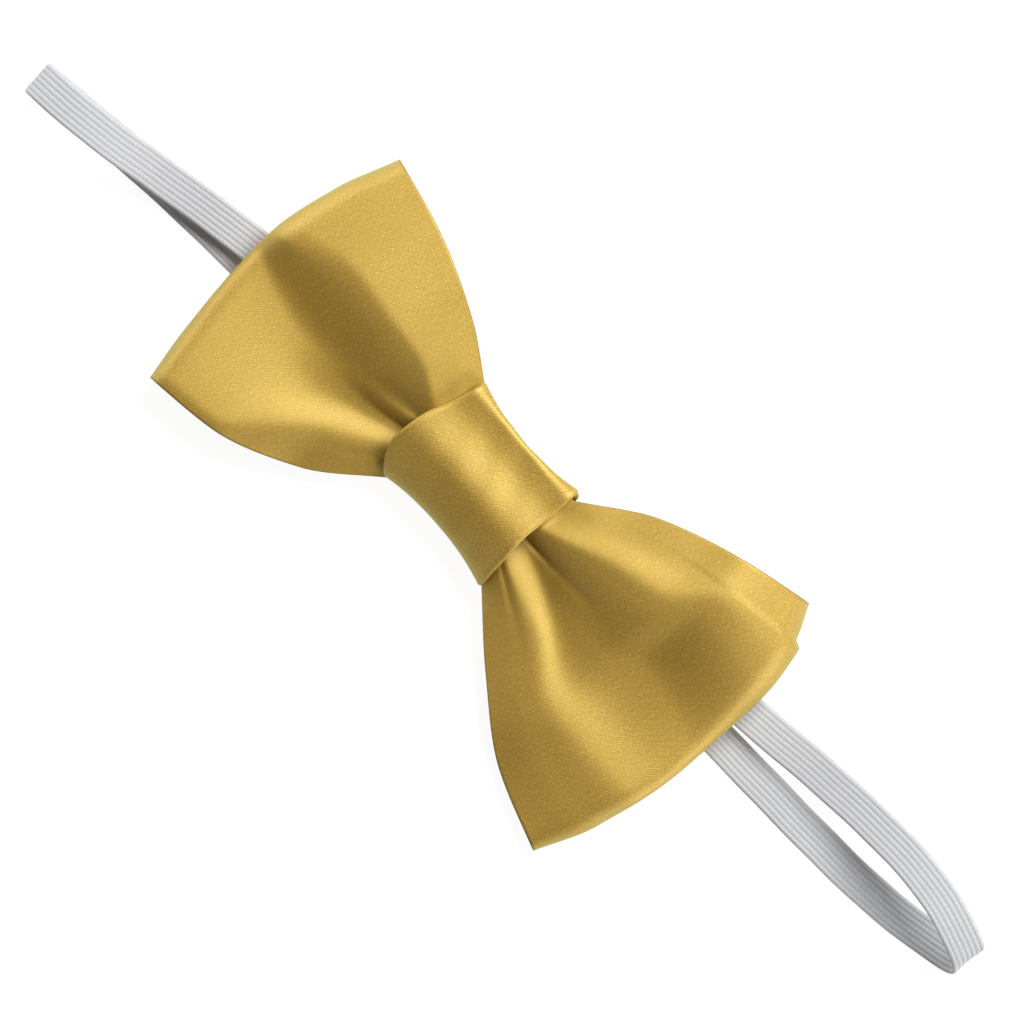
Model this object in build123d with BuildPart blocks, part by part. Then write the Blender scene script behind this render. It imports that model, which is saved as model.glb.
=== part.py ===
from build123d import *
import os
from math import radians, tan

# Pre-made satin gift bow on a loop of flat elastic, in millimetres.
# The bow lies on its back: +Z is its front, +X runs along it through both loops,
# and the origin is on the resting plane, under the middle of the bow.

# Wide satin strip that makes the two loops
bow_length = 107.6
bow_span = 57.0
corner_x = 48.6
satin_wall = 0.5
nose_wall = 1.0
crest_height = 17.0
nose_height = 6.5
selvage_height = 11.5
fold_rise = 15.0
root_flat = 8.0
corner_flat = 4.0
tip_swell = 1.0
crest_share = 0.65
flare_share = 0.56
flare_span_share = 0.36
pleat_depth = 5.0
pleat_half_width = 5.0
pleat_slope = 11
pleat_start = 1.5

# Gathered waist under the centre band
waist_width = 18.0
waist_depth = 8.5
waist_corner = 3.0
gather_length = 3.5

# Thread wound round the gathers
thread_size = 0.5
thread_turns = 5
thread_pitch = 0.7

# Centre band
band_width = 22.0
band_wall = 0.5
band_lap = 10.0
band_corner = 1.2
glue_wall = 0.2
glue_margin = 1.0

# Flat elastic
strap_width = 6.0
strap_wall = 0.8
bend_share = 0.45
stitch_size = 0.2
stitch_width = 4.4
stitch_rows = 3
stitch_pitch = 2.5
right_dip = 1.2
left_dip = 0.9

# Room round the elastic, which draws through under the band
clearance = 0.3
floor_gap = 0.05
side_room = 6.0
channel_share = 2.1
channel_slope = 1.0
lap_gap = 0.1
band_edge_gap = 0.2
root_overlap = 1.0

# Heights from the resting plane up
floor_z = floor_gap + strap_wall / 2
lap_z = floor_z + strap_wall + lap_gap
band_back_z = floor_z + strap_wall / 2 + clearance
band_seat_z = band_back_z + 2 * band_wall + glue_wall
tunnel_z = band_seat_z + clearance + strap_wall / 2
waist_back_z = tunnel_z + strap_wall / 2 + clearance
waist_front_z = waist_back_z + waist_depth
turn_z = floor_z + 2 * strap_width

# Values that the loop's outside and its hollow share
loop_root_x = band_width / 2 + band_edge_gap
hollow_root_x = loop_root_x + gather_length
flat_start_x = loop_root_x + root_flat
flat_end_x = corner_x - corner_flat
wing_end = bow_length / 2
edge_rise = wing_end - corner_x
edge_radius = ((bow_span / 2) ** 2 + edge_rise**2) / (2 * edge_rise)
channel_half = channel_share * strap_width
side_reach = bow_span / 2 + side_room
beyond = bow_length

# Centre line of the elastic, from its under end round both tips to its lapped end.
# Its points outside the bow are set out from the ends of the loops.
strap_route = [
    (-34.0, -4.1, floor_z),
    (-6.0, -1.9, floor_z),
    (24.0, 0.3, floor_z),
    (wing_end - 1.8, 2.1, floor_z),
    (wing_end + 24.2, 3.5, floor_z),
    (wing_end + 38.4, 4.9, floor_z),
    (wing_end + 50.4, 7.6, floor_z),
    (wing_end + 53.9, 9.3, (floor_z + turn_z) / 2),
    (wing_end + 50.4, 10.8, turn_z),
    (wing_end + 38.4, 13.2, turn_z - right_dip),
    (wing_end + 19.2, 11.6, tunnel_z),
    (wing_end - 3.8, 7.7, tunnel_z),
    (24.0, 5.4, tunnel_z),
    (-24.0, 1.0, tunnel_z),
    (3.8 - wing_end, -1.7, tunnel_z),
    (-16.2 - wing_end, -6.2, tunnel_z),
    (-28.7 - wing_end, -9.4, turn_z - left_dip),
    (-39.2 - wing_end, -11.0, turn_z),
    (-42.6 - wing_end, -11.3, (floor_z + turn_z) / 2),
    (-39.2 - wing_end, -10.7, floor_z),
    (-26.7 - wing_end, -8.5, floor_z),
    (-12.2 - wing_end, -6.6, floor_z),
    (1.8 - wing_end, -5.3, floor_z),
    (-38.0, -4.3, lap_z),
    (-24.0, -3.4, lap_z),
]


def side_outline():
    """Side view of a loop: flat back panel, rounded outer fold and crowned front panel."""
    with BuildSketch(Plane.XZ) as outline:
        with BuildLine():
            Polyline((loop_root_x, waist_back_z), (flat_start_x, 0), (flat_end_x, 0))
            ThreePointArc((flat_end_x, 0), (wing_end + tip_swell, nose_height), (flat_end_x, fold_rise))
            ThreePointArc(
                (flat_end_x, fold_rise),
                (crest_share * corner_x, crest_height),
                (loop_root_x, waist_front_z),
            )
            Line((loop_root_x, waist_front_z), (loop_root_x, waist_back_z))
        make_face()
    return outline.sketch


def end_outline(inset):
    """End view: arched front panel, and a back panel raised in a channel over the elastic."""
    with BuildSketch(Plane.YZ) as outline:
        with BuildLine():
            ThreePointArc(
                (-side_reach, selvage_height - inset),
                (0, crest_height - inset),
                (side_reach, selvage_height - inset),
            )
            Polyline(
                (side_reach, selvage_height - inset),
                (side_reach, inset),
                (channel_half + channel_slope + inset, inset),
                (channel_half + inset, waist_back_z + inset),
                (-channel_half - inset, waist_back_z + inset),
                (-channel_half - channel_slope - inset, inset),
                (-side_reach, inset),
                (-side_reach, selvage_height - inset),
            )
        make_face()
    return outline.sketch


def front_outline():
    """Front view of one loop: selvages fanned out from the waist to a rounded outer edge."""
    with BuildSketch() as outline:
        with BuildLine():
            ThreePointArc(
                (loop_root_x, waist_width / 2),
                (flare_share * corner_x, flare_span_share * bow_span),
                (corner_x, bow_span / 2),
            )
            ThreePointArc((corner_x, bow_span / 2), (wing_end, 0), (corner_x, -bow_span / 2))
            ThreePointArc(
                (corner_x, -bow_span / 2),
                (flare_share * corner_x, -flare_span_share * bow_span),
                (loop_root_x, -waist_width / 2),
            )
            Line((loop_root_x, -waist_width / 2), (loop_root_x, waist_width / 2))
        make_face()
    return outline.sketch


def pleat_valley(inset):
    """Valley of the centre pleat in a loop's front panel, deepest at the waist."""
    valley_line = Plane(
        origin=(loop_root_x, 0, waist_front_z - pleat_start),
        x_dir=(0, 1, 0),
        z_dir=(1, 0, tan(radians(pleat_slope))),
    )
    with BuildPart() as valley:
        with BuildSketch(valley_line):
            Polygon((0, 0), (-pleat_half_width, pleat_depth), (pleat_half_width, pleat_depth), align=None)
            if inset:
                offset(amount=inset, kind=Kind.INTERSECTION)
        extrude(amount=beyond)
    return valley.part


def loop_hollow():
    """Hollow of one loop, open at both selvages and closed by the gathers at its root."""
    side_view = offset(side_outline(), amount=-satin_wall)
    end_view = end_outline(satin_wall)
    valley = pleat_valley(satin_wall)
    with BuildPart() as hollow:
        extrude(side_view, amount=bow_span, both=True)
        extrude(end_view, amount=beyond, mode=Mode.INTERSECT)
        with BuildSketch():
            with Locations((wing_end - edge_radius, 0)):
                Circle(edge_radius - nose_wall)
            with Locations((hollow_root_x + beyond / 2, 0)):
                Rectangle(beyond, beyond, mode=Mode.INTERSECT)
        extrude(amount=beyond, mode=Mode.INTERSECT)
        add(valley, mode=Mode.SUBTRACT)
    return hollow.part


def thread_rings():
    """Turns of thread, flush with the face of the gathered waist."""
    middle = waist_back_z + waist_depth / 2
    with BuildPart() as rings:
        for turn in range(thread_turns):
            start_x = (turn - (thread_turns - 1) / 2) * thread_pitch - thread_size / 2
            with BuildSketch(Plane.YZ.offset(start_x)):
                with Locations((0, middle)):
                    RectangleRounded(waist_width, waist_depth, waist_corner)
                    RectangleRounded(
                        waist_width - 2 * thread_size,
                        waist_depth - 2 * thread_size,
                        waist_corner - thread_size,
                        mode=Mode.SUBTRACT,
                    )
            extrude(amount=thread_size)
    return rings.part


def route_radii(points):
    """Radius of each bend: bend_share of its shorter run, over the tangent of half its turn."""
    radii = []
    for before, corner, after in zip(points, points[1:], points[2:]):
        run_in = Vector(corner) - Vector(before)
        run_out = Vector(after) - Vector(corner)
        half_turn = radians(run_in.get_angle(run_out)) / 2
        radii.append(bend_share * min(run_in.length, run_out.length) / tan(half_turn))
    return radii


def stitch_rings():
    """Thread of the join: closed stitches across the lap, through both layers of the elastic."""
    under_end = Vector(strap_route[0])
    top_end = Vector(strap_route[-1])
    middle = (under_end + top_end) / 2
    along = Vector(top_end.X - under_end.X, top_end.Y - under_end.Y, 0)
    bottom = floor_z - strap_wall / 2
    height = lap_z + strap_wall / 2 + stitch_size - bottom
    with BuildPart() as rings:
        for row in range(stitch_rows):
            shift = (row - (stitch_rows - 1) / 2) * stitch_pitch
            place = Vector(middle.X, middle.Y, bottom + height / 2) + along.normalized() * shift
            across = Plane(origin=place, x_dir=along.cross(Vector(0, 0, 1)), z_dir=along)
            with BuildSketch(across):
                Rectangle(stitch_width, height)
                Rectangle(stitch_width - 2 * stitch_size, height - 2 * stitch_size, mode=Mode.SUBTRACT)
            extrude(amount=stitch_size / 2, both=True)
    return rings.part


os.makedirs("parts", exist_ok=True)

# Wide satin folded into two loops and gathered at the waist
side_view = side_outline()
end_view = end_outline(0)
front_view = front_outline()
valley = pleat_valley(0)
hollow = loop_hollow()
thread = thread_rings()
with BuildPart() as bow_ribbon:
    extrude(side_view, amount=bow_span, both=True)
    extrude(end_view, amount=beyond, mode=Mode.INTERSECT)
    extrude(front_view, amount=beyond, mode=Mode.INTERSECT)
    add(valley, mode=Mode.SUBTRACT)
    add(hollow, mode=Mode.SUBTRACT)
    mirror(about=Plane.YZ)
    with BuildSketch(Plane.YZ):
        with Locations((0, waist_back_z + waist_depth / 2)):
            RectangleRounded(waist_width, waist_depth, waist_corner)
    extrude(amount=loop_root_x + root_overlap, both=True)
    add(thread, mode=Mode.SUBTRACT)

# Thread that holds the pleats together
with BuildPart() as gathering_thread:
    add(thread)

# Narrow satin wrapped once round the waist, its ends lapped behind the bow
with BuildPart() as centre_band:
    side_y = waist_width / 2 + band_wall / 2
    inner_z = band_seat_z - band_wall / 2
    outer_z = band_back_z + band_wall / 2
    front_z = waist_front_z + band_wall / 2
    with BuildSketch(Plane.YZ):
        with BuildLine():
            FilletPolyline(
                (-band_lap / 2, inner_z),
                (side_y, inner_z),
                (side_y, front_z),
                (-side_y, front_z),
                (-side_y, outer_z),
                (band_lap / 2, outer_z),
                radius=[band_corner, waist_corner + band_wall / 2, waist_corner + band_wall / 2, band_corner],
            )
        trace(line_width=band_wall)
    extrude(amount=band_width / 2, both=True)

# Glue between the band's lapped ends
with BuildPart() as band_glue:
    with BuildSketch(Plane.XY.offset(band_back_z + band_wall)):
        Rectangle(band_width - 2 * glue_margin, band_lap - 2 * glue_margin)
    extrude(amount=glue_wall)

# Flat braided elastic, drawn through under the band and lapped on itself behind one loop
bend_radii = route_radii(strap_route)
stitches = stitch_rings()
with BuildLine() as strap_line:
    FilletPolyline(*strap_route, radius=bend_radii)
strap_path = strap_line.wire()
across = Vector(0, 0, 1).cross(strap_path % 0).normalized()
with BuildPart() as elastic_loop:
    with BuildSketch(Plane(origin=strap_path @ 0, x_dir=across, z_dir=strap_path % 0)):
        Rectangle(strap_width, strap_wall)
    sweep(path=strap_path, binormal=strap_path.moved(Location(across * strap_width)))
    add(stitches, mode=Mode.SUBTRACT)

# Stitches that close the loop of elastic
with BuildPart() as elastic_join_stitches:
    add(stitches)

pieces = {
    "bow_ribbon": bow_ribbon,
    "gathering_thread": gathering_thread,
    "centre_band": centre_band,
    "band_glue": band_glue,
    "elastic_loop": elastic_loop,
    "elastic_join_stitches": elastic_join_stitches,
}
for name, piece in pieces.items():
    piece.part.label = name
    export_step(piece.part, f"parts/{name}.step")

print("bend radii", [round(radius, 1) for radius in bend_radii])
print("elastic length", round(strap_path.length, 1))
print("section times length", round(strap_width * strap_wall * strap_path.length, 1))
print("elastic volume", round(elastic_loop.part.volume, 1))
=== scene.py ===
from math import cos, pi, radians, sin

import bpy
import numpy as np
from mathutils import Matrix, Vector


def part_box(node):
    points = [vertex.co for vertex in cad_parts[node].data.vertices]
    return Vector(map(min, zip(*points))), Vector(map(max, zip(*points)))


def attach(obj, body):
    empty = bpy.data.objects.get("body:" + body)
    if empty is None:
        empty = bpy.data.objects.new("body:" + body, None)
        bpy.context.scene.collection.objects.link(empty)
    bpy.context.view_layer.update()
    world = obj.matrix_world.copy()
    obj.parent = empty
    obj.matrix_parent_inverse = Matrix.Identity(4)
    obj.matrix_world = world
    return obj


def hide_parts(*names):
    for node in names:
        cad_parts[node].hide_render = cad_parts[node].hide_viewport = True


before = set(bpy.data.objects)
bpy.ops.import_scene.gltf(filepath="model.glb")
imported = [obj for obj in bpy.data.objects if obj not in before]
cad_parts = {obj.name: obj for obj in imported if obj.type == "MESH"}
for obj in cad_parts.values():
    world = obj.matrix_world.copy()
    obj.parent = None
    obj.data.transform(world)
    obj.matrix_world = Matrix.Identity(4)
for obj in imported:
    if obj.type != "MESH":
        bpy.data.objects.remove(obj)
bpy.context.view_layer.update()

# ------------------------------------------------------------------------------------------------------
# Wide ribbon: one 57 mm strip of gold polyester satin, folded into a loop on each side and pleated at the
# middle. Its two ends lap behind the waist, and the thread and the centre band hold them there.
mm = 0.001
bow_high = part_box("bow_ribbon")[1]
half_length = bow_high.x
half_span = bow_high.y
ribbon_width = 57 * mm
satin_thickness = 0.22 * mm
back_lap = 5 * mm
resting_z = 0.3 * mm
channel_z = 4.1 * mm
channel_reach = (12.9 * mm, 21 * mm)
nose_share = 0.11
notch_step = 1.3 * mm
notch_groove = 0.5
gather_depth = 2.2 * mm
waist_pinch = 0.17
tail_pinch = 0.05
tail_narrowing = 0.85
tail_lift = 0.5 * mm
columns = 121
front_rows = 64
back_rows = 48
tail_rows = 10

# Plan of each wing, as shares of the bow's half length and half span, from the waist to the outer fold
plan_stations = (0, 0.25, 0.6, 1)
fold_stations = (0, 0.25, 0.45, 0.62, 1)
# Creases: place at the waist and at the end, reach as a share, depth in mm and width
wings = {
    "right": {
        "side": 1,
        "upper": ((0.205, 0.335), (0.41, 0.63), (0.66, 0.825), (0.908, 0.955)),
        "lower": ((0.205, -0.35), (0.41, -0.655), (0.66, -0.96), (0.910, -1.115)),
        "bulge": ((-1, 0), (-0.65, 3.6), (-0.1, 5.6), (0.45, 5.2), (0.8, 3.2), (1, 0)),
        # Each fold of the front panel: its place across (-1 to 1) and its height in mm at each station
        "folds": (
            ((-1, -1, -1, -1, -1), (4.6, 4.4, 4.2, 2.8, 4.0)),
            ((-0.75, -0.72, -0.72, -0.72, -0.70), (6.6, 6.4, 6.8, 5.9, 6.6)),
            ((-0.48, -0.43, -0.53, -0.48, -0.38), (8.1, 7.9, 7.7, 7.5, 8.6)),
            ((-0.10, -0.28, -0.37, -0.28, -0.22), (7.7, 7.5, 7.4, 7.3, 8.6)),
            ((0.04, -0.11, -0.06, 0.10, -0.02), (8.3, 8.5, 9.2, 8.9, 8.6)),
            ((0.20, 0.30, 0.37, 0.62, 0.54), (11.0, 13.2, 14.7, 16.2, 12.1)),
            ((0.32, 0.46, 0.54, 0.76, 0.70), (11.6, 14.2, 15.7, 16.9, 12.8)),
            ((0.62, 0.70, 0.76, 0.90, 0.86), (10.6, 13.6, 15.1, 16.6, 12.6)),
            ((1, 1, 1, 1, 1), (7.8, 13.5, 14.9, 16.4, 12.5)),
        ),
        "creases": (
            (0.02, 0.10, 0.50, 0.7, 0.05),
            (-0.58, -0.62, 0.35, 0.4, 0.05),
        ),
        "notch": 0.80,
    },
    "left": {
        "side": -1,
        "upper": ((0.205, 0.35), (0.40, 0.565), (0.65, 0.74), (0.897, 0.838)),
        "lower": ((0.205, -0.36), (0.40, -0.70), (0.65, -0.93), (0.892, -1.010)),
        "bulge": ((-1, 0), (-0.6, 2.4), (0.15, 4.7), (0.6, 3.1), (1, 0)),
        "folds": (
            ((-1, -1, -1, -1, -1), (4.8, 4.6, 7.4, 9.3, 9.2)),
            ((-0.41, -0.52, -0.74, -0.93, -0.93), (7.8, 7.8, 9.0, 9.8, 9.6)),
            ((-0.24, -0.28, -0.36, -0.27, -0.12), (7.5, 7.2, 8.1, 8.9, 9.2)),
            ((-0.17, -0.20, -0.12, -0.14, -0.01), (7.9, 7.6, 9.1, 9.0, 9.3)),
            ((0.04, 0.35, 0.33, 0.33, 0.15), (10.0, 13.8, 15.3, 15.2, 12.0)),
            ((0.13, 0.44, 0.42, 0.42, 0.27), (10.7, 14.4, 15.9, 15.8, 12.4)),
            ((0.55, 0.74, 0.70, 0.68, 0.66), (10.9, 14.2, 15.8, 15.7, 12.5)),
            ((1, 1, 1, 1, 1), (9.4, 13.9, 15.7, 15.6, 12.6)),
        ),
        "creases": (
            (-0.04, -0.12, 0.55, -0.7, 0.07),
            (-0.16, -0.14, 0.50, 0.6, 0.05),
            (0.06, 0.06, 0.35, 0.3, 0.05),
            (-0.66, -0.72, 0.35, 0.3, 0.05),
        ),
        "notch": None,
    },
}


def smooth_line(knots, values, where):
    """Height of a smooth line through given values, which it never swings past."""
    knots, values = np.asarray(knots, float), np.asarray(values, float)
    run = np.diff(knots)
    slope = np.diff(values) / run
    tangent = np.concatenate(([slope[0]], np.zeros(len(slope) - 1), [slope[-1]]))
    for i in range(1, len(slope)):
        if slope[i - 1] * slope[i] > 0:
            tangent[i] = 2 * slope[i - 1] * slope[i] / (slope[i - 1] + slope[i])
    i = np.clip(np.searchsorted(knots, where) - 1, 0, len(run) - 1)
    t = (where - knots[i]) / run[i]
    rise = values[i] + (values[i + 1] - values[i]) * t * t * (3 - 2 * t)
    lean = t * (1 - t) * ((1 - t) * tangent[i] - t * tangent[i + 1]) * run[i]
    return rise + lean


def ease(value, start, end):
    """0 before start, 1 after end, and smooth between them."""
    t = np.clip((value - start) / (end - start), 0, 1)
    return t * t * (3 - 2 * t)


def soften(heights, passes):
    """Evens a surface's heights with their neighbours', as satin rounds every fold."""
    for _ in range(passes):
        heights[1:-1] = (heights[:-2] + 2 * heights[1:-1] + heights[2:]) / 4
        heights[:, 1:-1] = (heights[:, :-2] + 2 * heights[:, 1:-1] + heights[:, 2:]) / 4
    return heights


def wing_plan(wing, share, across):
    """Plan position of the ribbon at a share of the way out, for each place across."""
    half = (across + 1) / 2
    x_upper, y_upper, x_lower, y_lower = (
        smooth_line(plan_stations, [place[axis] for place in wing[edge]], share) * size
        for edge in ("upper", "lower")
        for axis, size in ((0, half_length), (1, half_span))
    )
    bulge = smooth_line(*zip(*wing["bulge"]), across) * mm
    if wing["notch"]:
        bulge -= notch_step * ease(across, wing["notch"], wing["notch"] + 0.02)
    x = x_lower + (x_upper - x_lower) * half + bulge * share**2
    y = y_lower + (y_upper - y_lower) * half
    return x, y


def front_height(wing, share, across):
    """Height of the front panel, folded along lines that run out from the waist."""
    places = [smooth_line(fold_stations, places, share) for places, _ in wing["folds"]]
    heights = [smooth_line(fold_stations, heights, share) for _, heights in wing["folds"]]
    z = smooth_line(places, heights, across)
    for at_waist, at_end, reach, depth, width in wing["creases"]:
        middle = at_waist + (at_end - at_waist) * share / reach
        z = z - depth * (1 - ease(share, 0, reach)) * np.exp(-(((across - middle) / width) ** 2))
    if wing["notch"]:
        groove = np.exp(-(((across - wing["notch"]) / 0.02) ** 2))
        z = z - notch_groove * ease(share, 0.9, 1.0) * groove
    return z * mm


def back_height(y, share, across):
    """Height of the back panel: on the resting plane, and raised over the elastic."""
    lift = 1 - ease(np.abs(y), *channel_reach)
    waves = (1 - across**2) * (1 - np.cos(6 * pi * across)) / 2
    gathers = gather_depth * (1 - share) ** 1.3 * waves
    return resting_z + (channel_z - resting_z) * lift + gathers


def wing_rows(wing):
    """Rows of points from the waist front, round the outer fold, to the waist back."""
    across = np.linspace(-1, 1, columns)
    flat_end = 1 - nose_share
    front_shares = np.linspace(0, flat_end, front_rows)
    turns = np.radians(np.linspace(0, 180, 23)[1:-1])
    back_shares = np.linspace(flat_end, 0, back_rows)
    front = []
    for share in front_shares:
        x, y = wing_plan(wing, share, across)
        front.append((x, y, front_height(wing, share, across)))
    front = np.array(front)
    front[:, 2] = soften(front[:, 2], 3)
    nose = []
    for turn in turns:
        share = flat_end + nose_share * sin(turn)
        x, y = wing_plan(wing, share, across)
        top, bottom = front_height(wing, share, across), back_height(y, share, across)
        middle = np.maximum(0.45 * top, bottom + 0.4 * (top - bottom))
        reach = (top if turn < pi / 2 else bottom) - middle
        nose.append((x, y, middle + reach * (1 - sin(turn) ** 3) ** 0.5))
    back = []
    for share in back_shares:
        x, y = wing_plan(wing, share, across)
        back.append((x, y, back_height(y, share, across)))
    rows = np.concatenate((front, np.array(nose), np.array(back)))
    rows[:, 0] *= wing["side"]
    return np.moveaxis(rows, 1, 2)


def bridge(start, end, count, pinch):
    """Rows from one to another over the waist, drawn in by the thread at the middle."""
    made = []
    for t in np.linspace(0, 1, count + 2)[1:-1]:
        row = start + (end - start) * t
        row[:, 1] *= 1 - pinch * sin(pi * t)
        made.append(row)
    return np.array(made)


def sheet_mesh(name, rows, spans):
    """A smooth sheet through rows of points, with its lie in metres along and across the strip."""
    count, width = rows.shape[:2]
    points = rows.reshape(-1, 3)
    faces = [
        (i * width + j, (i + 1) * width + j, (i + 1) * width + j + 1, i * width + j + 1)
        for i in range(count - 1)
        for j in range(width - 1)
    ]
    mesh = bpy.data.meshes.new(name)
    mesh.from_pydata(points.tolist(), [], faces)
    middle = rows[:, width // 2]
    along = np.concatenate(([0], np.cumsum(np.linalg.norm(np.diff(middle, axis=0), axis=1))))
    side = np.linspace(-0.5, 0.5, width) * spans
    lie = mesh.uv_layers.new(name="lie")
    for face in mesh.polygons:
        for corner, vertex in zip(face.loop_indices, face.vertices):
            lie.data[corner].uv = (along[vertex // width], side[vertex % width])
    mesh.polygons.foreach_set("use_smooth", [True] * len(mesh.polygons))
    piece = bpy.data.objects.new(name, mesh)
    bpy.context.scene.collection.objects.link(piece)
    return piece


def give_thickness(piece, thickness):
    """Gives a sheet its real thickness."""
    wall = piece.modifiers.new("wall", "SOLIDIFY")
    wall.thickness = thickness
    wall.offset = 0
    wall.use_even_offset = False


right_rows = wing_rows(wings["right"])
left_rows = wing_rows(wings["left"])
front_bridge = bridge(left_rows[0], right_rows[0], 17, waist_pinch)
left_end = left_rows[-1].copy()
left_end[:, 0] = back_lap
left_end[:, 1] *= tail_narrowing
right_end = right_rows[-1].copy()
right_end[:, 0] = -back_lap
right_end[:, 1] *= tail_narrowing
left_tail = bridge(left_rows[-1], left_end, tail_rows, tail_pinch)
right_tail = bridge(right_rows[-1], right_end, tail_rows, tail_pinch)
right_tail[:, :, 2] += tail_lift * np.linspace(0, 1, tail_rows)[:, None]
strip = np.concatenate((left_tail[::-1], left_rows[::-1], front_bridge, right_rows, right_tail))
bow_satin = sheet_mesh("bow_ribbon_satin", strip, ribbon_width)
give_thickness(bow_satin, satin_thickness)


class Shade:
    """A value in a finish. Arithmetic on it adds Math nodes, and add() adds any other node."""

    def __init__(self, tree, socket=None):
        self.tree, self.socket = tree, socket

    def add(self, kind, settings, sockets, output=0):
        """Adds a node of a kind, sets it, and gives its sockets their values or links."""
        node = self.tree.nodes.new("ShaderNode" + kind)
        for name, setting in settings.items():
            if name == "stops":
                while len(node.color_ramp.elements) < len(setting):
                    node.color_ramp.elements.new(0.5)
                for element, (place, colour) in zip(node.color_ramp.elements, setting):
                    element.position, element.color = place, (*colour, 1)
            else:
                setattr(node, name, setting)
        for name, given in sockets.items():
            if isinstance(given, Shade):
                self.tree.links.new(given.socket, node.inputs[name])
            else:
                node.inputs[name].default_value = given
        return Shade(self.tree, node.outputs[output]) if len(node.outputs) else self

    def math(self, operation, *terms):
        return self.add("Math", {"operation": operation}, dict(enumerate(terms)))

    def __add__(self, other):
        return self.math("ADD", self, other)

    def __sub__(self, other):
        return self.math("SUBTRACT", self, other)

    def __rsub__(self, other):
        return self.math("SUBTRACT", other, self)

    def __mul__(self, other):
        return self.math("MULTIPLY", self, other)

    def __truediv__(self, other):
        return self.math("DIVIDE", self, other)

    def __pow__(self, other):
        return self.math("POWER", self, other)

    def __abs__(self):
        return self.math("ABSOLUTE", self)

    __radd__ = __add__
    __rmul__ = __mul__

    def sine(self):
        return self.math("SINE", self)

    def fraction(self):
        return self.math("FRACT", self)

    def clamped(self):
        return self.add("Clamp", {}, {"Value": self})

    def colour(self, low, high):
        """Goes from the low colour at 0 to the high one at 1."""
        colours = {0: self, 6: (*low, 1) if isinstance(low, tuple) else low, 7: (*high, 1)}
        return self.add("Mix", {"data_type": "RGBA"}, colours, 2)

    def noise(self, place, scale, detail=2, roughness=0.5):
        """Even noise from 0 to 1 at a place."""
        sockets = {"Vector": place, "Scale": scale, "Detail": detail, "Roughness": roughness}
        return self.add("TexNoise", {}, sockets)

    def stretched(self, place, sizes):
        """A place with each direction measured in its own size."""
        scales = tuple(1 / size for size in sizes)
        return self.add("VectorMath", {"operation": "MULTIPLY"}, {0: place, 1: scales})


def new_finish(name):
    """An empty material and the Shade that its nodes start from."""
    material = bpy.data.materials.new(name)
    material.use_nodes = True
    material.node_tree.nodes.clear()
    return material, Shade(material.node_tree)


def lie_of(shade):
    """Place on a strip, and its distances along and across, in metres."""
    place = shade.add("UVMap", {"uv_map": "lie"}, {})
    return place, shade.add("SeparateXYZ", {}, {0: place}), shade.add("SeparateXYZ", {}, {0: place}, 1)


satin_shadow = (0.500, 0.250, 0.028)
satin_gold = (0.640, 0.378, 0.054)
# Pale yellow of the painted glints
satin_painted_glint = (0.810, 0.580, 0.140)
# Brown of the painted shade along the strip's long edges
edge_shade_brown = (0.420, 0.210, 0.030)
twill_pitch = 0.36 * mm
bow_twill = radians(-41)


def satin_finish(name, half_width, twill_angle):
    """Gold satin: long floats in fine slanted rows, slubs, painted glints, and painted shade along the long
    edges.
    """
    material, start = new_finish(name)
    place, along, across = lie_of(start)
    rows = (along * cos(twill_angle) + across * sin(twill_angle)) * (2 * pi / twill_pitch)
    waver = start.noise(start.stretched(place, (2.2 * mm, 1.3 * mm, 1)), 1, 2)
    broken = start.noise(start.stretched(place, (0.8 * mm, 0.5 * mm, 1)), 1, 2)
    fleck = start.noise(start.stretched(place, (0.55 * mm, 0.16 * mm, 1)), 1, 3, 0.65)
    cloud = start.noise(start.stretched(place, (14 * mm, 9 * mm, 1)), 1, 2)
    twill = (rows + waver * 5).sine() * (broken * 1.3 - 0.15)
    tone = (0.5 + twill * 0.36 + (fleck - 0.5) * 2.4 + (cloud - 0.5) * 0.4).clamped()
    body = tone.colour(satin_shadow, satin_gold)
    # Painted glints: pale yellow specks mixed into the base colour where the fine fleck noise is high
    painted_glint = ((fleck - 0.54) * 6).clamped() * 0.75
    body = painted_glint.colour(body, satin_painted_glint)
    # Painted shade: a darker brown along the strip's long edges, where the edge rolls away from the light
    edge_shade = ((abs(across) - (half_width - 0.5 * mm)) / (0.4 * mm)).clamped() * 0.75
    body = edge_shade.colour(body, edge_shade_brown)
    height = twill * 0.35 + fleck * 0.9
    relief = start.add("Bump", {}, {"Strength": 0.5, "Distance": 0.06 * mm, "Height": height})
    surface = start.add(
        "BsdfPrincipled",
        {},
        {
            "Base Color": body,
            "Metallic": 0.5,
            "IOR": 2.4,
            "Roughness": 0.60 + (fleck - 0.5) * 0.15,
            "Specular IOR Level": 0.5,
            "Specular Tint": (0.30, 1.0, 0.55, 1),
            "Coat Weight": 0.25,
            "Coat Roughness": 0.45,
            "Normal": relief,
        },
    )
    start.add("OutputMaterial", {}, {"Surface": surface})
    return material


bow_satin.data.materials.append(satin_finish("gold_satin_wide", ribbon_width / 2, bow_twill))
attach(bow_satin, "bow")
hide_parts("bow_ribbon")

# ------------------------------------------------------------------------------------------------------
# Gathering thread: a doubled brown sewing thread, wound five times round the pleats and pulled tight, so
# that the waist keeps its width before the centre band covers it.
thread_low, thread_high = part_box("gathering_thread")
thread_radius = 0.2 * mm
thread_turns = 5

# Outline of the pleated waist in mm, all the way round
waist_outline = (
    (0, 3.9), (5.5, 4.0), (7.6, 4.8), (8.2, 6.4), (7.7, 8.2), (6.2, 9.7), (3.9, 10.8), (1.2, 11.2),
    (-1.6, 10.8), (-4.2, 9.5), (-6.4, 8.0), (-7.7, 6.6), (-8.2, 5.4), (-7.7, 4.4), (-5.5, 3.95), (0, 3.9),
)


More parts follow.
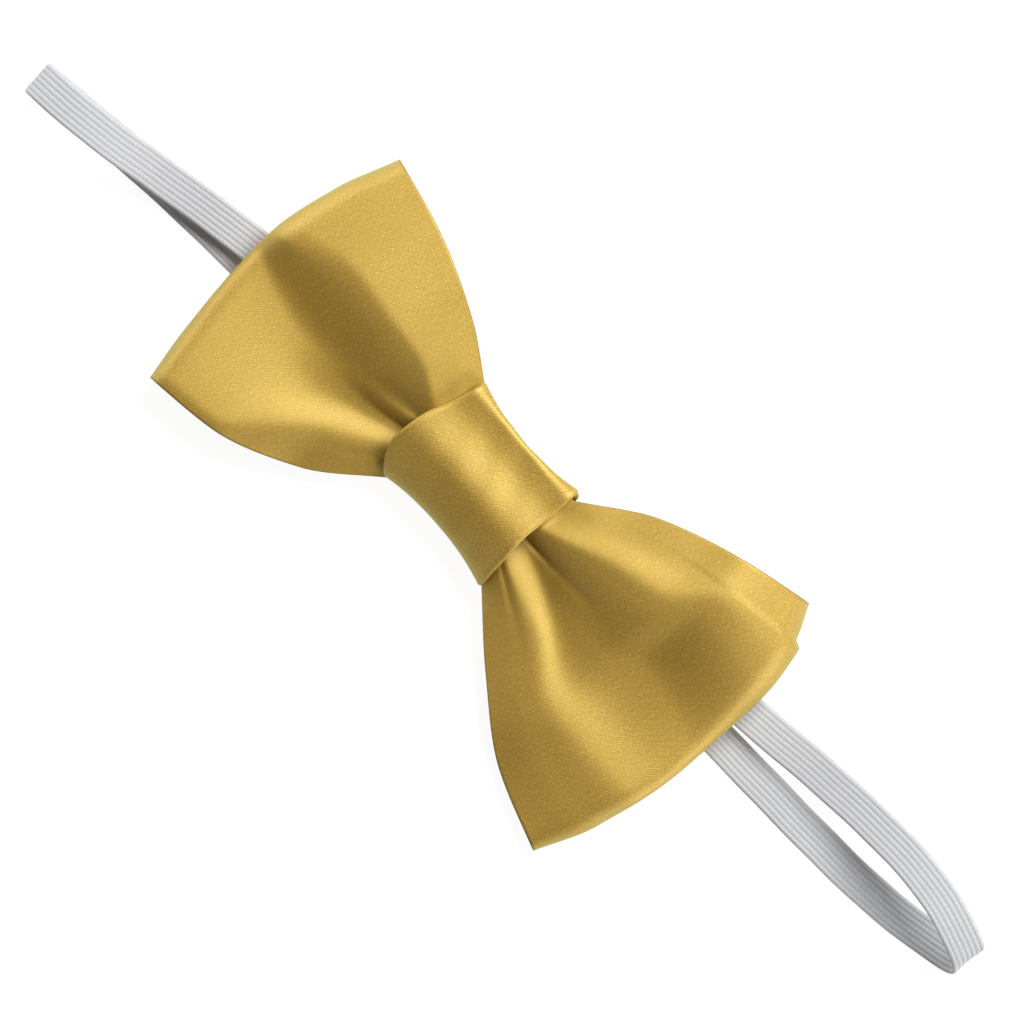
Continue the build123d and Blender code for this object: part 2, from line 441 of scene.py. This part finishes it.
def rounded_path(points, count):
    """A smooth curve near given points, as a quadratic B-spline, at even steps."""
    points = np.asarray(points, float)
    start = 2 * points[0] - points[1]
    end = 2 * points[-1] - points[-2]
    points = np.concatenate(([start], points, [end]))
    made = []
    for a, b, c in zip(points, points[1:], points[2:]):
        for t in np.linspace(0, 1, 12, endpoint=False):
            made.append(a * (1 - t) ** 2 / 2 + b * (0.5 + t - t * t) + c * t * t / 2)
    made = np.array(made)
    run = np.concatenate(([0], np.cumsum(np.linalg.norm(np.diff(made, axis=0), axis=1))))
    even = np.linspace(0, run[-1], count)
    return np.stack([np.interp(even, run, made[:, k]) for k in range(made.shape[1])], axis=1)


def tube_mesh(name, line, radius, sides=8):
    """A round thread along a line of points."""
    line = np.asarray(line, float)
    tangent = np.gradient(line, axis=0)
    tangent /= np.linalg.norm(tangent, axis=1)[:, None]
    side = np.cross(tangent, (0.31, 0.17, 0.93))
    side /= np.linalg.norm(side, axis=1)[:, None]
    up = np.cross(tangent, side)
    angles = np.linspace(0, 2 * pi, sides, endpoint=False)
    ring = side[:, None] * np.cos(angles)[None, :, None] + up[:, None] * np.sin(angles)[None, :, None]
    points = (line[:, None] + ring * radius).reshape(-1, 3)
    count = len(line)
    faces = [
        (i * sides + j, i * sides + (j + 1) % sides, (i + 1) * sides + (j + 1) % sides, (i + 1) * sides + j)
        for i in range(count - 1)
        for j in range(sides)
    ]
    faces += [tuple(range(sides))[::-1], tuple((count - 1) * sides + j for j in range(sides))]
    mesh = bpy.data.meshes.new(name)
    mesh.from_pydata(points.tolist(), [], faces)
    mesh.polygons.foreach_set("use_smooth", [True] * len(mesh.polygons))
    piece = bpy.data.objects.new(name, mesh)
    bpy.context.scene.collection.objects.link(piece)
    return piece


outline = rounded_path(waist_outline, 60)[:-1]
winding = [
    (thread_low.x + (thread_high.x - thread_low.x) * i / (59 * thread_turns), y * mm, z * mm)
    for i, (y, z) in enumerate(np.tile(outline, (thread_turns, 1)))
]
thread_piece = tube_mesh("gathering_thread_turns", winding, thread_radius)


def thread_finish(name, colour, ply):
    """Sewing thread: twisted plies with a slight sheen."""
    material, start = new_finish(name)
    place = start.add("TexCoord", {}, {}, 3)
    fibre = start.noise(place, 1 / (0.3 * mm), 3, 0.6)
    twist = start.add(
        "TexWave",
        {"bands_direction": "DIAGONAL"},
        {"Vector": place, "Scale": 1 / ply, "Distortion": 0.6},
        1,
    )
    darker = tuple(0.6 * part for part in colour)
    body = (fibre * 0.6 + twist * 0.4).clamped().colour(darker, colour)
    relief = start.add("Bump", {}, {"Strength": 0.4, "Distance": 0.04 * mm, "Height": twist})
    surface = start.add(
        "BsdfPrincipled", {}, {"Base Color": body, "Roughness": 0.55, "Sheen Weight": 0.2, "Normal": relief}
    )
    start.add("OutputMaterial", {}, {"Surface": surface})
    return material


thread_piece.data.materials.append(thread_finish("brown_thread", (0.30, 0.17, 0.05), 0.5 * mm))
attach(thread_piece, "bow")
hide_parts("gathering_thread")

# ------------------------------------------------------------------------------------------------------
# Centre band: a narrower strip of the same satin with both edges turned under, wrapped once round the
# waist. The pleats spread its edges, and its ends lap behind the bow, where glue holds them.
band_thickness = 0.24 * mm
band_wrap = 22 * mm
band_flare = 1.35
band_waisting = 0.1
band_crease = 0.05
lap_top = 3.2
beyond_the_edge = 20 * mm
band_twill = radians(48)
hem_radius = 0.45 * mm
pressed_hem = 0.05 * mm
hem_turns = (30, 60, 90, 120, 150, 180)

# Section of the band round the waist in mm, from its inner lapped end to its outer one
band_section = (
    (-5.0, 2.1), (0.0, 2.1), (5.6, 2.15), (8.2, 2.7), (9.35, 4.4), (9.5, 7.0), (9.6, 10.4), (9.7, 12.2),
    (9.2, 12.6), (7.6, 12.25), (5.4, 11.95), (3.2, 12.1), (1.2, 12.4), (-0.8, 12.55), (-2.6, 12.2),
    (-4.4, 11.1), (-6.2, 9.9), (-7.9, 8.5), (-9.2, 7.0), (-9.5, 5.0), (-9.1, 3.2), (-7.8, 1.8),
    (-5.4, 1.42), (0.0, 1.4), (5.0, 1.4),
)
# Plan of its two edges over the front, in mm along the bow at each place across it
band_left_edge = ((-11, -10.9), (-8.5, -13.2), (-4.6, -14.9), (0, -14.6), (5, -13.2), (11, -11.9))
band_right_edge = ((-11, 11.5), (-8.8, 10.8), (-4, 10.2), (0, 9.7), (5, 9.9), (11, 9.8))

section = rounded_path(band_section, 150)
slope = np.gradient(section, axis=0)
outward = np.stack((slope[:, 1], -slope[:, 0]), axis=1)
outward /= np.linalg.norm(outward, axis=1)[:, None]
front_share = ease(section[:, 1], 3.0, 9.0)
left_x = smooth_line(*zip(*band_left_edge), section[:, 0])
right_x = smooth_line(*zip(*band_right_edge), section[:, 0])
band_half = band_wrap / mm / 2
left_x = -band_half + (left_x + band_half) * front_share
right_x = band_half + (right_x - band_half) * front_share
band_columns = []
shares = np.linspace(0, 1, 41)
for share in shares:
    x = left_x + (right_x - left_x) * share
    flare = abs(2 * share - 1) ** 2.2
    waisted = np.where(section[:, 1] > lap_top, band_flare * flare - band_waisting, 0)
    spread = section + outward * (waisted * ease(section[:, 1], 2.6, 6))[:, None]
    crease = band_crease * np.sin(x * 0.9 + section[:, 0] * 0.55) * ease(section[:, 1], 5, 9) * (1 - flare)
    spread = spread + outward * crease[:, None]
    band_columns.append(np.stack((x, spread[:, 0], spread[:, 1]), axis=1))
# The hems are pressed flat behind the bow, where the elastic runs over them
hem = (pressed_hem + (hem_radius - pressed_hem) * ease(section[:, 1], 3.5, 6.5)) / mm
for end, side in ((0, -1), (-1, 1)):
    edge = band_columns[end]
    for turn in hem_turns:
        out, under = hem * sin(radians(turn)), hem * (1 - cos(radians(turn)))
        row = edge + np.stack((side * out, *(-outward.T * under)), axis=1)
        if side < 0:
            band_columns.insert(0, row)
        else:
            band_columns.append(row)
band_rows = np.moveaxis(np.array(band_columns), 0, 1) * mm
band = sheet_mesh("centre_band_satin", band_rows, band_wrap + 2 * pi * hem_radius)
give_thickness(band, band_thickness)
band.data.materials.append(satin_finish("gold_satin_narrow", beyond_the_edge, band_twill))
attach(band, "bow")
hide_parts("centre_band")

# ------------------------------------------------------------------------------------------------------
# Glue: a thin patch of clear hot-melt glue, pressed flat between the two lapped ends of the band.
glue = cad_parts["band_glue"]
material, start = new_finish("clear_glue")
place = start.add("TexCoord", {}, {}, 3)
bubbles = start.noise(place, 1 / (0.8 * mm), 3, 0.6)
relief = start.add("Bump", {}, {"Strength": 0.3, "Distance": 0.05 * mm, "Height": bubbles})
body = bubbles.colour((0.62, 0.55, 0.36), (0.80, 0.76, 0.60))
surface = start.add(
    "BsdfPrincipled",
    {},
    {"Base Color": body, "Roughness": 0.22 + bubbles * 0.1, "Coat Weight": 0.3, "Normal": relief},
)
start.add("OutputMaterial", {}, {"Surface": surface})
glue.data.materials.clear()
glue.data.materials.append(material)

# ------------------------------------------------------------------------------------------------------
# Elastic: 0.435 m of white 6 mm braided elastic, drawn through between the bow's back and the band. It
# turns over at both tips, and its ends lap behind the left loop, where stitches join them.
strap_width = 6 * mm
strap_wall = 0.8 * mm
strap_ribs = 7
strap_rings = 640
rib_depth = 0.08 * mm
wander_depth = 0.03 * mm
wander_pitch = 11 * mm
strap_route = (
    (-0.0340, -0.0041, 0.00045),
    (-0.0060, -0.0019, 0.00045),
    (0.0240, 0.0003, 0.00045),
    (0.0520, 0.0021, 0.00045),
    (0.0780, 0.0035, 0.00045),
    (0.0922, 0.0049, 0.00045),
    (0.1042, 0.0076, 0.00045),
    (0.1077, 0.0093, 0.00645),
    (0.1042, 0.0108, 0.01245),
    (0.0922, 0.0132, 0.01125),
    (0.0730, 0.0116, 0.00305),
    (0.0500, 0.0077, 0.00305),
    (0.0240, 0.0054, 0.00305),
    (-0.0240, 0.0010, 0.00305),
    (-0.0500, -0.0017, 0.00305),
    (-0.0700, -0.0062, 0.00305),
    (-0.0825, -0.0094, 0.01155),
    (-0.0930, -0.0110, 0.01245),
    (-0.0964, -0.0113, 0.00645),
    (-0.0930, -0.0107, 0.00045),
    (-0.0805, -0.0085, 0.00045),
    (-0.0660, -0.0066, 0.00045),
    (-0.0520, -0.0053, 0.00045),
    (-0.0380, -0.0043, 0.00135),
    (-0.0240, -0.0034, 0.00135),
)
strap_line = bpy.data.curves.new("strap_line", "CURVE")
strap_line.dimensions = "3D"
spline = strap_line.splines.new("NURBS")
spline.points.add(len(strap_route) - 1)
for point, place in zip(spline.points, strap_route):
    point.co = (*place, 1)
spline.order_u = 3
spline.use_endpoint_u = True
spline.resolution_u = 24
line_object = bpy.data.objects.new("strap_line", strap_line)
line_mesh = bpy.data.meshes.new_from_object(line_object)
strap_path = np.array([vertex.co for vertex in line_mesh.vertices], float)
bpy.data.objects.remove(line_object)
bpy.data.meshes.remove(line_mesh)

step = np.linalg.norm(np.diff(strap_path, axis=0), axis=1)
run = np.concatenate(([0], np.cumsum(step)))
even = np.linspace(0, run[-1], strap_rings)
strap_centre = np.stack([np.interp(even, run, strap_path[:, k]) for k in range(3)], axis=1)
heading = np.gradient(strap_centre, axis=0)
heading /= np.linalg.norm(heading, axis=1)[:, None]
lying = np.hypot(heading[:, 0], heading[:, 1]) > 0.75
bearing = np.arctan(heading[:, 1] / heading[:, 0])
bearing = np.interp(even, even[lying], bearing[lying])
evening = np.ones(13) / 13
bearing = np.convolve(np.pad(bearing, 6, mode="edge"), evening, mode="valid")
sideways = np.stack((-np.sin(bearing), np.cos(bearing), np.zeros(len(bearing))), axis=1)
sideways -= heading * np.sum(sideways * heading, axis=1)[:, None]
sideways /= np.linalg.norm(sideways, axis=1)[:, None]
facing = np.cross(heading, sideways)

across = np.linspace(-1, 1, strap_ribs * 6 + 1)
ribbing = rib_depth * (np.abs(np.cos(across * strap_ribs * pi / 2)) ** 0.7 - 1)
edge_round = strap_wall / 2 * (1 - (1 - np.abs(across) ** 14) ** 0.5)
face_height = strap_wall / 2 + ribbing * (1 - np.abs(across) ** 20) - edge_round
profile = [(a * strap_width / 2, h) for a, h in zip(across, face_height)]
profile += [(a * strap_width / 2, -h) for a, h in zip(across[::-1], face_height[::-1])][1:-1]
profile = np.array(profile)
wander = wander_depth * np.sin(even * 2 * pi / wander_pitch)
points = (
    strap_centre[:, None]
    + sideways[:, None] * (profile[None, :, 0, None] + wander[:, None, None])
    + facing[:, None] * profile[None, :, 1, None]
)
count, width = points.shape[:2]
faces = [
    (i * width + j, (i + 1) * width + j, (i + 1) * width + (j + 1) % width, i * width + (j + 1) % width)
    for i in range(count - 1)
    for j in range(width)
]
faces += [tuple(range(width)), tuple((count - 1) * width + j for j in range(width))[::-1]]
mesh = bpy.data.meshes.new("elastic_strap")
mesh.from_pydata(points.reshape(-1, 3).tolist(), [], faces)
lie = mesh.uv_layers.new(name="lie")
for face in mesh.polygons:
    for corner, vertex in zip(face.loop_indices, face.vertices):
        lie.data[corner].uv = (even[vertex // width], profile[vertex % width, 0])
mesh.polygons.foreach_set("use_smooth", [True] * len(mesh.polygons))
strap = bpy.data.objects.new("elastic_strap", mesh)
bpy.context.scene.collection.objects.link(strap)

material, start = new_finish("white_braid")
place, along, across_strap = lie_of(start)
rib = across_strap / (strap_width / strap_ribs) + 0.5
rib_side = abs(rib.fraction() - 0.5) * 2
groove = rib_side**4
slip = start.noise(start.stretched(place, (1.1 * mm, 0.5 * mm, 1)), 1, 2, 0.6)
fuzz = start.noise(start.stretched(place, (0.4 * mm, 0.12 * mm, 1)), 1, 3, 0.7)
leg = (along / (0.8 * mm) + rib_side * 0.7 + slip * 1.2).fraction()
loop = (abs(leg - 0.5) * 2) ** 2
knit = (1 - groove) * (0.55 + 0.45 * loop)
shadowed = (0.14 + knit * 0.9 + (fuzz - 0.5) * 0.6).clamped()
body = shadowed.colour((0.385, 0.390, 0.405), (0.560, 0.568, 0.590))
relief = start.add("Bump", {}, {"Strength": 0.5, "Distance": 0.07 * mm, "Height": knit + fuzz * 0.5})
surface = start.add(
    "BsdfPrincipled",
    {},
    {
        "Base Color": body,
        "Roughness": 0.78 + (fuzz - 0.5) * 0.1,
        "Sheen Weight": 0.15,
        "Sheen Roughness": 0.5,
        "Normal": relief,
    },
)
start.add("OutputMaterial", {}, {"Surface": surface})
mesh.materials.append(material)

# ------------------------------------------------------------------------------------------------------
# Join stitches: three rows of white polyester thread across the lap, through both layers of the elastic.
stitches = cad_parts["elastic_join_stitches"]
stitches.data.materials.clear()
stitches.data.materials.append(thread_finish("white_stitching", (0.82, 0.82, 0.80), 0.25 * mm))
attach(strap, "elastic")
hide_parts("elastic_loop")

# ------------------------------------------------------------------------------------------------------
# Table, light and camera: a plain white light table, one large soft light from above the bow's upper
# side, even fill from all round, and a long lens looking straight down with the bow on the slant.
floor_half = 3.0
floor_drop = 0.05 * mm
mesh = bpy.data.meshes.new("light_table")
corners = ((-1, -1), (1, -1), (1, 1), (-1, 1))
mesh.from_pydata([(x * floor_half, y * floor_half, -floor_drop) for x, y in corners], [], [(0, 1, 2, 3)])
table = bpy.data.objects.new("light_table", mesh)
bpy.context.scene.collection.objects.link(table)
material, start = new_finish("white_table")
place = start.add("TexCoord", {}, {}, 3)
mottle = start.noise(place, 40, 2)
surface = start.add(
    "BsdfPrincipled",
    {},
    {
        "Base Color": mottle.colour((0.14, 0.14, 0.14), (0.16, 0.16, 0.16)),
        "Roughness": 0.9,
        "Specular IOR Level": 0.1,
        "Emission Color": (1, 1, 1, 1),
        "Emission Strength": 0.93,
    },
)
start.add("OutputMaterial", {}, {"Surface": surface})
mesh.materials.append(material)

lit_point = (0, 0, 10 * mm)


def soft_light(name, place, size, power):
    """A square soft box at a place, turned towards the bow."""
    lamp = bpy.data.lights.new(name, "AREA")
    lamp.shape = "SQUARE"
    lamp.size = size
    lamp.energy = power
    holder = bpy.data.objects.new(name, lamp)
    bpy.context.scene.collection.objects.link(holder)
    holder.location = place
    aim = holder.location.copy()
    aim.x, aim.y, aim.z = (t - p for t, p in zip(lit_point, place))
    holder.rotation_mode = "QUATERNION"
    holder.rotation_quaternion = aim.to_track_quat("-Z", "Y")


soft_light("key_light", (0.0, 0.60, 0.72), 0.60, 13.0)
soft_light("left_fill", (-0.80, 0.0, 0.14), 0.50, 4.0)
soft_light("right_fill", (0.80, 0.0, 0.14), 0.50, 4.0)
world = bpy.data.worlds.new("even_fill")
world.use_nodes = True
world.node_tree.nodes["Background"].inputs["Color"].default_value = (1, 0.88, 0.72, 1)
world.node_tree.nodes["Background"].inputs["Strength"].default_value = 0.05
bpy.context.scene.world = world
bpy.context.scene.view_settings.view_transform = "Standard"

camera_data = bpy.data.cameras.new("studio_camera")
camera_data.lens = 200
camera_data.sensor_width = 36
view_width = 162.5 * mm
aim_point = (5.8 * mm, 0.9 * mm, 8 * mm)
camera_height = view_width * camera_data.lens / camera_data.sensor_width
camera = bpy.data.objects.new("studio_camera", camera_data)
bpy.context.scene.collection.objects.link(camera)
camera.location = (aim_point[0], aim_point[1], aim_point[2] + camera_height)
camera.rotation_euler = (0, 0, radians(49.3))
camera_data.clip_start = 0.05
camera_data.clip_end = 20
bpy.context.scene.camera = camera
